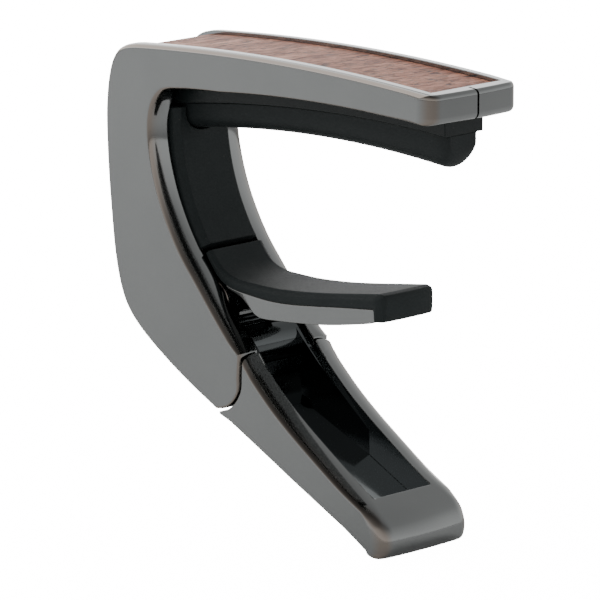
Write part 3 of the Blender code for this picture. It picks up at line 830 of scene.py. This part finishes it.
def lever_outline():
    """The lever from the side, and the size of its long edge's rounding at each point."""
    clear = 0.35
    corner = arc(JOINT_CENTRE, JOINT_RADIUS + clear, 0, -80, 24)
    skin = [LEVER_SKIN[0], (-11.9, -46.96), LEVER_SKIN[1], (-4.0, -51.2), LEVER_SKIN[2], (7.2, -57.2),
            LEVER_SKIN[3]]
    rim = smooth_curve(NOSE + LEVER_RIM[::-1])
    nose = [p for p in rim if p[0] > NOSE_START]
    parts = [(skin, EDGE, 0.45), (nose, EDGE, 0.5), (rim[len(nose):], RIM_EDGE, 0.6),
             (corner, JOINT_EDGE, 0.05)]
    outline = [point for line, _, _ in parts for point in line]
    sizes = eased([size for line, size, _ in parts for _ in line], 8)
    slopes = [slope for line, _, slope in parts for _ in line]
    return outline, tamed(outline, sizes, slopes, [LEVER_RIM[0], LEVER_SKIN[0], corner[-1]])


def lever_casting():
    """The hollow lever up to the round joint. Its hub and ears are a piece of their own."""
    outline, edges = lever_outline()
    body = slab("lever_casting", outline, edges, NOSE_X, NOSE_CORNER, blend=5.0)
    body.data.materials.append(CHROME)
    for sign in (-1, 1):
        cut(body, rim_end(sign))
    hollow = [(-20.0, -40.5), (12.4, -57.65), (14.3, -57.7), (16.4, -55.2), (18.0, -52.5), (18.0, -40.0),
              (-2.0, -28.0), (-20.0, -28.0)]
    # The hollow's faces take the lighter copy of the plating: painted light inside the lever.
    cut(body, prism("cut_hollow", hollow, -CHANNEL, CHANNEL), PAINTED_LIGHT_INNER)
    return shaded(ease(body, SOFT_EDGE, inside=CHANNEL + 0.4))


def between(x, table):
    """A value read off a table of (x, value) in order, on straight lines between its points."""
    for (x0, v0), (x1, v1) in zip(table, table[1:]):
        if x <= x1:
            return v0 + (v1 - v0) * (x - x0) / (x1 - x0)
    return table[-1][1]


def ear(sign):
    """One of the two webs from the hub to the lever's walls, thinning out along the wall."""
    start, end = -15.6, 3.0
    top = [(start, -33.1), (-12.0, -33.7), (-7.3, -38.9), (-3.0, -43.0), (end, -48.6)]
    low = [(start, -41.6), (-13.4, -42.8), (-10.9, -44.5), (-9.3, -45.1), (-8.2, -46.9), (end, -52.8)]
    inner = [(start, 5.2), (-11.0, 5.2), (end, 6.58)]
    outer = [(start, 6.2), (-8.6, 6.2), (-7.6, 6.9), (end, 6.9)]
    rings = []
    for x in spread(start, end, 31):
        high, deep, near, far = (between(x, table) for table in (top, low, inner, outer))
        rings.append([(x, sign * far, high), (x, sign * near, high),
                      (x, sign * near, deep), (x, sign * far, deep)])
    return loft("ear", rings)


def lever_hub():
    """The lever's ears, its hub with the finger that opens the jaw, and the wall that closes it in behind."""
    finger_half, knob_half = 2.6, 2.7
    hub_half = HUB_HALF + 0.05
    apron_half = HUB_HALF - 0.1
    body = on_axis("lever_hub", LEVER_AXIS, 0, HUB, -hub_half, hub_half)
    # The hub, ears and wall take a darker copy of the plating: painted shade where they sit in the hollow
    # under the jaw.
    body.data.materials.append(PAINTED_SHADE_CHROME)
    for sign in (-1, 1):
        join(body, ear(sign))
    apron = [(-16.3, -36.0), (-14.0, -36.0), (-14.0, -41.2), (-11.0, -43.9), (-9.9, -46.2), (-11.3, -45.3),
             (-11.8, -44.2), (-12.6, -43.7), (-14.2, -42.4), (-15.4, -42.1), (-16.3, -41.0)]
    join(body, prism("apron", apron, -apron_half, apron_half))
    finger = [(1.5, -1.6), (FINGER, -0.9), (FINGER, 0.9), (1.5, 1.6)]
    join(body, prism("finger", from_axis(LEVER_AXIS, JAW_AXIS, finger), -finger_half, finger_half))
    knob = from_axis(LEVER_AXIS, JAW_AXIS, [(FINGER, 0)])[0]
    join(body, on_axis("knob", knob, 0, KNOB, -knob_half, knob_half, chamfer=0.1, sides=48))
    cut(body, bore(LEVER_AXIS, 8))
    return shaded(body)


def round_spring(name, start_y, pitch=0.72, turns=1.75, wire=0.6, tang=2.0, start_angle=35.0):
    """A torsion spring of round wire about the jaw's shaft, with both its ends bent outward.

    pitch is a turn's step along Y, wire the wire's diameter and tang the length of each end.
    """
    middle = SHAFT + GAP + wire / 2
    steps = 40
    count = int(turns * steps)
    path = []
    for k in range(count + 1):
        turn = radians(start_angle) + 2 * pi * k / steps
        path.append(Vector((JAW_AXIS[0] + middle * cos(turn), start_y + pitch * k / steps,
                            JAW_AXIS[1] + middle * sin(turn))))
    for end in (0, -1):
        away = Vector((path[end].x - JAW_AXIS[0], 0, path[end].z - JAW_AXIS[1])).normalized() * tang
        out = [path[end] + away * f for f in (0.35, 1.0)]
        path = out[::-1] + path if end == 0 else path + out
    curve = bpy.data.curves.new(name, "CURVE")
    curve.dimensions = "3D"
    curve.bevel_depth = wire / 2 * MM
    curve.bevel_resolution = 4
    curve.use_fill_caps = True
    line = curve.splines.new("POLY")
    line.points.add(len(path) - 1)
    for point, place in zip(line.points, path):
        point.co = (*(place * MM), 1)
    obj = bpy.data.objects.new(name, curve)
    bpy.context.scene.collection.objects.link(obj)
    return obj


def shaft_cap(name, axis):
    """The plug over a shaft's end, flush with the far cheek."""
    chamfer, face, back = 0.18, 10.44, 9.2
    profile = [(BUSH - chamfer, face), (BUSH, face - chamfer), (BUSH, back), (0, back), (0, face)]
    return shaded(turned(name, profile, axis))


# ---------------------------------------------------------------- stage

def emptied(owner):
    """The cleared node tree of a material or world."""
    owner.use_nodes = True
    owner.node_tree.nodes.clear()
    return owner.node_tree


def wired(tree, links):
    """Joins pairs of sockets in a node tree."""
    for source, target in links:
        tree.links.new(source, target)


def floor_material():
    """A pale matt floor, brighter to the camera than in the object's reflections."""
    made = bpy.data.materials.new("pale_floor")
    tree = emptied(made)
    path = tree.nodes.new("ShaderNodeLightPath")
    matt = tree.nodes.new("ShaderNodeBsdfDiffuse")
    matt.inputs["Color"].default_value = (0.9, 0.9, 0.9, 1)
    glow = tree.nodes.new("ShaderNodeEmission")
    glow.inputs["Strength"].default_value = 15.5
    both = tree.nodes.new("ShaderNodeAddShader")
    mix = tree.nodes.new("ShaderNodeMixShader")
    out = tree.nodes.new("ShaderNodeOutputMaterial")
    wired(tree, [
        (matt.outputs[0], both.inputs[0]),
        (glow.outputs[0], both.inputs[1]),
        (path.outputs["Is Camera Ray"], mix.inputs[0]),
        (matt.outputs[0], mix.inputs[1]),
        (both.outputs[0], mix.inputs[2]),
        (mix.outputs[0], out.inputs["Surface"]),
    ])
    return made


def surround_light(tree):
    """What lights the object: grey all round, lighter low down, with a soft glow high on the far side."""
    levels = ((0.0, 0.26), (0.15, 0.24), (0.33, 0.19), (0.6, 0.085), (1.0, 0.02))
    where = tree.nodes.new("ShaderNodeTexCoord")
    apart = tree.nodes.new("ShaderNodeSeparateXYZ")
    ramp = tree.nodes.new("ShaderNodeValToRGB")
    elements = ramp.color_ramp.elements
    for i, (height, level) in enumerate(levels):
        stop = elements[i] if i < 2 else elements.new(height)
        stop.position = height
        stop.color = (level, level, level, 1)
    toward = tree.nodes.new("ShaderNodeVectorMath")
    toward.operation = "DOT_PRODUCT"
    toward.inputs[1].default_value = (0.0, 0.75, 0.66)
    glow = tree.nodes.new("ShaderNodeMapRange")
    glow.interpolation_type = "SMOOTHSTEP"
    glow.inputs["From Min"].default_value = 0.62
    glow.inputs["From Max"].default_value = 1.0
    glow.inputs["To Max"].default_value = 0.06
    total = tree.nodes.new("ShaderNodeMath")
    around = tree.nodes.new("ShaderNodeBackground")
    around.inputs["Strength"].default_value = 4.0
    wired(tree, [
        (where.outputs["Generated"], apart.inputs[0]),
        (apart.outputs["Z"], ramp.inputs[0]),
        (where.outputs["Generated"], toward.inputs[0]),
        (toward.outputs["Value"], glow.inputs["Value"]),
        (ramp.outputs[0], total.inputs[0]),
        (glow.outputs["Result"], total.inputs[1]),
        (total.outputs[0], around.inputs["Color"]),
    ])
    return around


def studio_world():
    """The surround, which the camera itself sees as plain white."""
    world = bpy.data.worlds.new("studio")
    bpy.context.scene.world = world
    tree = emptied(world)
    around = surround_light(tree)
    behind = tree.nodes.new("ShaderNodeBackground")
    behind.inputs["Strength"].default_value = 16.0
    path = tree.nodes.new("ShaderNodeLightPath")
    mix = tree.nodes.new("ShaderNodeMixShader")
    out = tree.nodes.new("ShaderNodeOutputWorld")
    wired(tree, [
        (path.outputs["Is Camera Ray"], mix.inputs[0]),
        (around.outputs[0], mix.inputs[1]),
        (behind.outputs[0], mix.inputs[2]),
        (mix.outputs[0], out.inputs["Surface"]),
    ])


def aimed(obj, place, aim):
    """A light or camera at its place, looking at its aim, in the scene."""
    obj.location = place
    obj.rotation_euler = (Vector(aim) - Vector(place)).to_track_quat("-Z", "Y").to_euler()
    bpy.context.scene.collection.objects.link(obj)
    return obj


def soft_box(name, place, size, level):
    """A softbox aimed at the object, of a width and height, as bright as a level of the surround."""
    light = bpy.data.lights.new(name, "AREA")
    light.shape = "RECTANGLE"
    light.size, light.size_y = size
    light.energy = level * pi * size[0] * size[1]
    return aimed(bpy.data.objects.new(name, light), place, LIGHT_AIM)


def stage():
    """The floor, surround, lights and camera."""
    mesh = bpy.data.meshes.new("floor")
    reach = FLOOR_REACH
    z = FLOOR_Z * MM
    mesh.from_pydata([(-reach, -reach, z), (reach, -reach, z), (reach, reach, z), (-reach, reach, z)], [],
                     [(0, 1, 2, 3)])
    mesh.materials.append(floor_material())
    floor = bpy.data.objects.new("floor", mesh)
    bpy.context.scene.collection.objects.link(floor)
    studio_world()
    soft_box("left_box", (-0.62, -0.05, 0.55), (1.3, 0.9), 1.9)
    soft_box("low_box", (-0.65, 0.68, 0.2), (0.8, 0.45), 1.55)
    lens = bpy.data.cameras.new("camera")
    lens.lens = LENS
    lens.sensor_width = SENSOR
    lens.clip_start = 0.01
    bpy.context.scene.camera = aimed(bpy.data.objects.new("camera", lens), CAMERA_PLACE, CAMERA_AIM)


# ---------------------------------------------------------------- the scene

# Blender's own first objects go, so that only the frame and the pieces made here are left.
for obj in list(bpy.data.objects):
    bpy.data.objects.remove(obj)
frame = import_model()

CHROME = black_chrome("black_chrome", (0.226, 0.234, 0.233), (0.254, 0.262, 0.260))
# A lighter copy of the plating for the faces inside the hollows: painted light, brighter than the outside,
# standing in for light that reaches in.
PAINTED_LIGHT_INNER = black_chrome("black_chrome_inside_painted_light", (0.27, 0.29, 0.295), (0.33, 0.352, 0.357))
# A darker copy of the plating for the lever's hub and ears: painted shade in the hollow under the jaw.
PAINTED_SHADE_CHROME = black_chrome("black_chrome_painted_shade", (0.075, 0.082, 0.084), (0.1, 0.108, 0.11))
WOOD = walnut()
RUBBER = moulded("fret_rubber_black", (0.0085, 0.0118, 0.0122), (0.014, 0.0185, 0.0188), 0.55, 5.0, 0.03)
PAD_RUBBER = moulded("pad_rubber_black", (0.0095, 0.0135, 0.0138), (0.0165, 0.022, 0.0225), 0.64, 4.0, 0.07)
PLASTIC = moulded("carrier_plastic_black", (0.008, 0.011, 0.011), (0.013, 0.017, 0.017), 0.34, 2.4, 0.02)
BUSH_PLASTIC = moulded("bush_plastic_black", (0.03, 0.03, 0.03), (0.05, 0.05, 0.05), 0.4, 3.0, 0.02)
STEEL = bright_steel("turned_steel", 0.55, 0.22)
SPRING = bright_steel("spring_wire", 0.42, 0.28)

# How each piece is made: its function and what that is given, then its body, CAD node, slot and material.
MADE = [
    (frame_casting, (), "frame_body", "frame", "black_chrome", CHROME),
    (wood_inlay, (), "frame_body", "arm_inlay", "walnut", WOOD),
    (carrier_rail, (), "frame_body", "pad_carrier", "carrier_plastic", PLASTIC),
    (fret_rubber, (), "frame_body", "fret_pad", "fret_rubber", RUBBER),
    (spine_rubber, (), "frame_body", "spine_pad", "pad_rubber", PAD_RUBBER),
    (jaw_casting, (), "jaw_body", "jaw", "black_chrome", CHROME),
    (jaw_rubber, (), "jaw_body", "jaw_pad", "pad_rubber", PAD_RUBBER),
    (lever_casting, (), "lever_body", "lever", "black_chrome", CHROME),
    (lever_hub, (), "lever_body", "lever", "black_chrome", PAINTED_SHADE_CHROME),
    (round_spring, ("coil_near", -6.1), "frame_body", "jaw_spring_near", "spring_steel", SPRING),
    (round_spring, ("coil_far", 4.84), "frame_body", "jaw_spring_far", "spring_steel", SPRING),
    (shaft_cap, ("jaw_shaft_cap", JAW_AXIS), "frame_body", "jaw_shaft_plug", "black_chrome", CHROME),
    (shaft_cap, ("lever_shaft_cap", LEVER_AXIS), "frame_body", "lever_shaft_plug", "black_chrome", CHROME),
]
# The CAD nodes that stay as they are, with their materials.
KEPT = {
    "carrier_screw_rear": STEEL, "carrier_screw_front": STEEL, "spine_plate_screw_upper": STEEL,
    "spine_plate_screw_lower": STEEL, "jaw_shaft": STEEL, "lever_shaft": STEEL, "spine_pad_plate": PLASTIC,
    "jaw_bush_near": BUSH_PLASTIC, "jaw_bush_far": BUSH_PLASTIC, "lever_bush_near": BUSH_PLASTIC,
    "lever_bush_far": BUSH_PLASTIC,
}

stage()
for make, given, body, node, slot, finish in MADE:
    piece = make(*given)
    if not piece.data.materials:
        piece.data.materials.append(finish)
    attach(piece, body)
    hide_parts(node)
for node, finish in KEPT.items():
    for place in frame["nodes"][node].material_slots:
        place.material = finish
